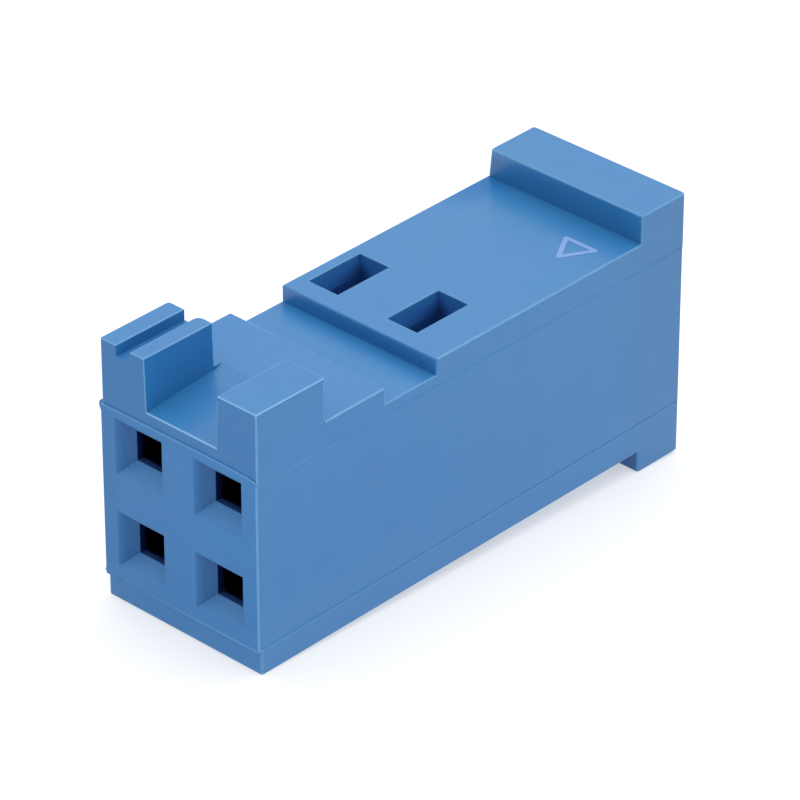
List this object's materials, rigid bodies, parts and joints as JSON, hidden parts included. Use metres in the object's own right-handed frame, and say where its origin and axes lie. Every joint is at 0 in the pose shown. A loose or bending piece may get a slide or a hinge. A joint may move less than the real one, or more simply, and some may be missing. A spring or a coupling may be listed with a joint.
{
  "type": "crimp contact receptacle housing",
  "caption": "Moulded receptacle housing for crimped wire contacts, with funnelled square pin openings, lance windows, keyed front posts and rear grip ribs.",
  "frame": {"origin": "centre of the mating face, midway between the four pin openings", "axes": "+Y from the mating face along the housing to the wire entry, +Z towards the posts and the lance windows, +X across, away from the flash bead"},
  "size_m": [0.0051, 0.0148, 0.0077],
  "materials": {
    "housing_plastic": "satin moulded blue"
  },
  "bodies": {
    "root": {"housing": "housing_plastic"}
  },
  "joints": []
}
